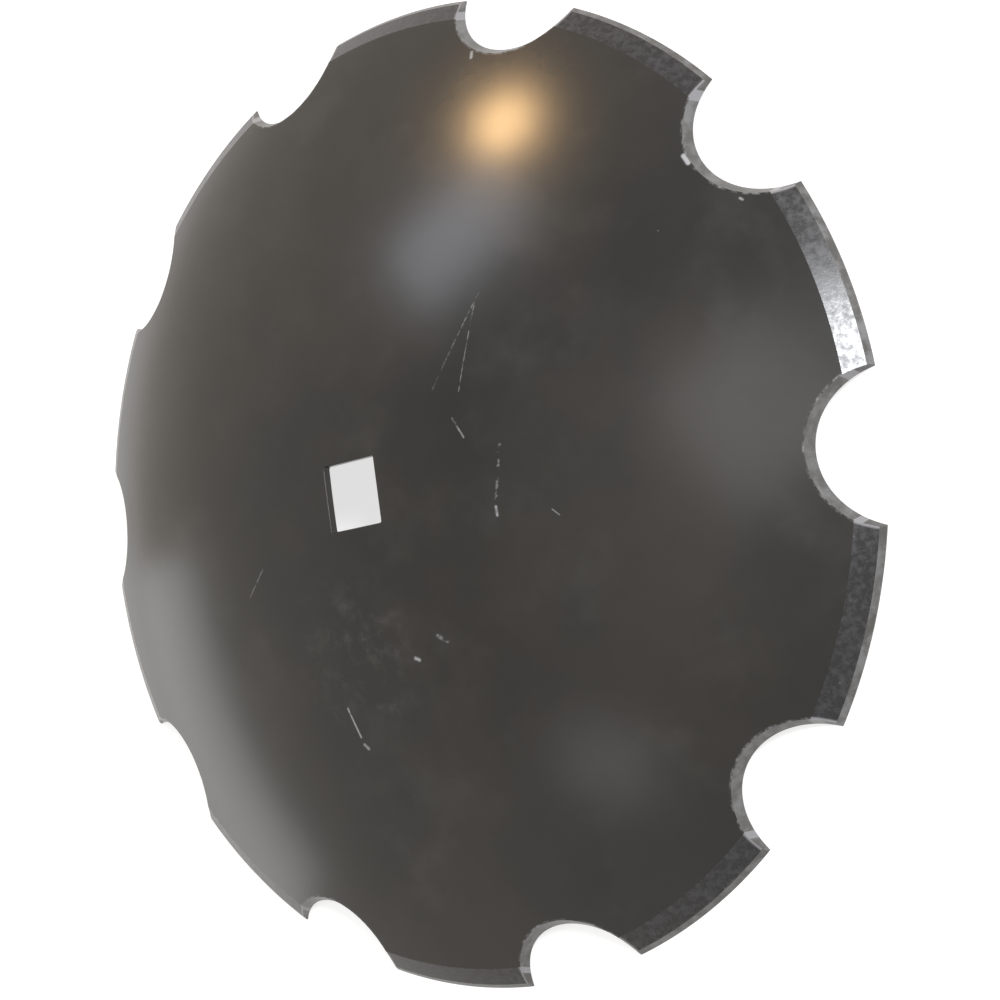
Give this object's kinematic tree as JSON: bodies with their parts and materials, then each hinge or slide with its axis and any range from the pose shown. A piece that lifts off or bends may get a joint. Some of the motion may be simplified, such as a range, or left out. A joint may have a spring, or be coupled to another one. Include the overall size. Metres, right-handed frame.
{
  "type": "harrow disc blade",
  "caption": "Notched, dished steel disc blade for a disc harrow, with a square hole for the gang axle.",
  "frame": {"origin": "on the disc's axis, in the plane of the teeth's lowest edges", "axes": "+Z along the disc's axis, from the hollow side to the domed side; the flats of the axle hole are square to X and Y"},
  "size_m": [0.5074, 0.508, 0.0617],
  "materials": {
    "blade_steel": "satin black lacquer over steel"
  },
  "bodies": {
    "root": {"disc_blade": "blade_steel"}
  },
  "joints": []
}
